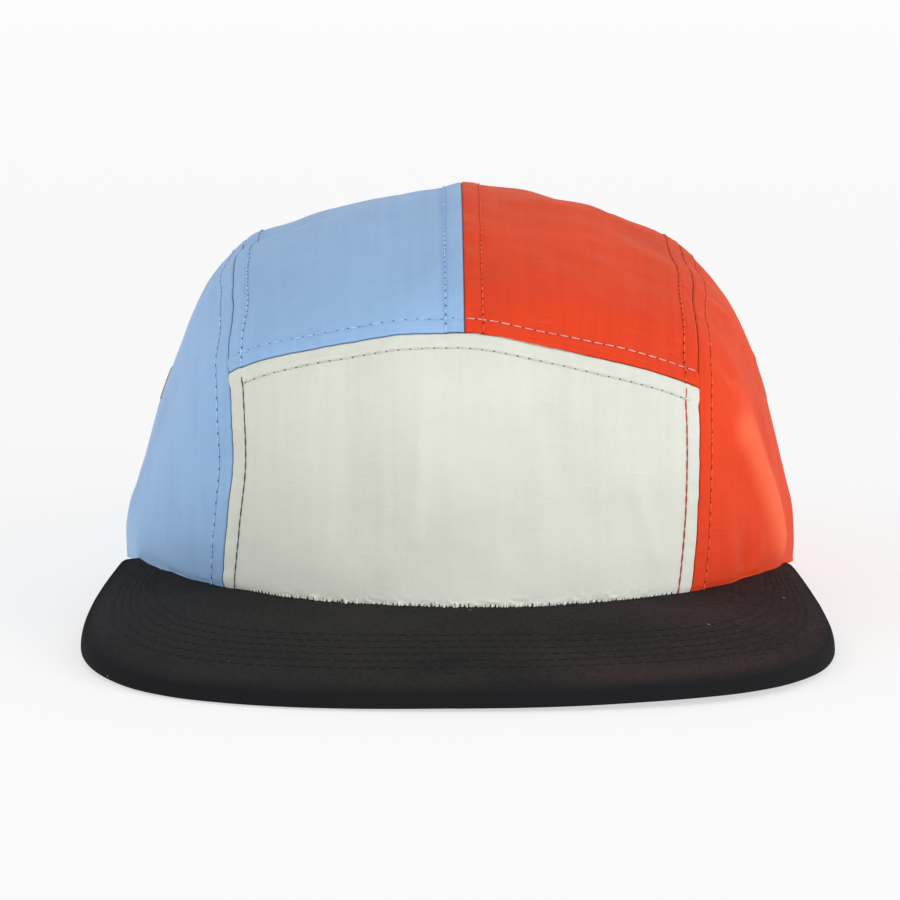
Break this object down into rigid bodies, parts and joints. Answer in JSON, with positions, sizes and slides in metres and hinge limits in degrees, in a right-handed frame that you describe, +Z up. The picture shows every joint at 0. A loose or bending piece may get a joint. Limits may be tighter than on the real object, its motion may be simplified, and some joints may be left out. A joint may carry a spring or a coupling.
{
  "type": "five panel cap",
  "caption": "Light nylon cap with a pale front panel, a top in two colours, coloured side panels, a flat dark peak and a strap with a clasp at the back.",
  "frame": {"origin": "on the table, under the middle of the cap's box, as it stands by itself", "axes": "+Z up, the peak points to -Y and the strap at the back to +Y, the red panels are on the +X side and the blue ones on the -X side"},
  "size_m": [0.1828, 0.2634, 0.1019],
  "materials": {
    "cream_nylon": "matt woven nylon",
    "blue_nylon": "matt woven nylon with a faint sheen",
    "red_nylon": "matt woven nylon with a faint sheen",
    "black_twill": "matt brushed twill",
    "black_webbing": "ribbed webbing",
    "black_plastic": "satin",
    "aged_brass": "aged, satin"
  },
  "bodies": {
    "root": {"front_panel": "cream_nylon", "top_panel_blue": "blue_nylon", "top_panel_red": "red_nylon", "side_panel_blue": "blue_nylon", "side_panel_red": "red_nylon", "peak": "black_twill", "sweatband": "black_twill", "back_strap": "black_webbing", "strap_clasp": "black_plastic", "eyelet_blue_front": "aged_brass", "eyelet_blue_rear": "aged_brass", "eyelet_red_front": "aged_brass", "eyelet_red_rear": "aged_brass"}
  },
  "joints": []
}
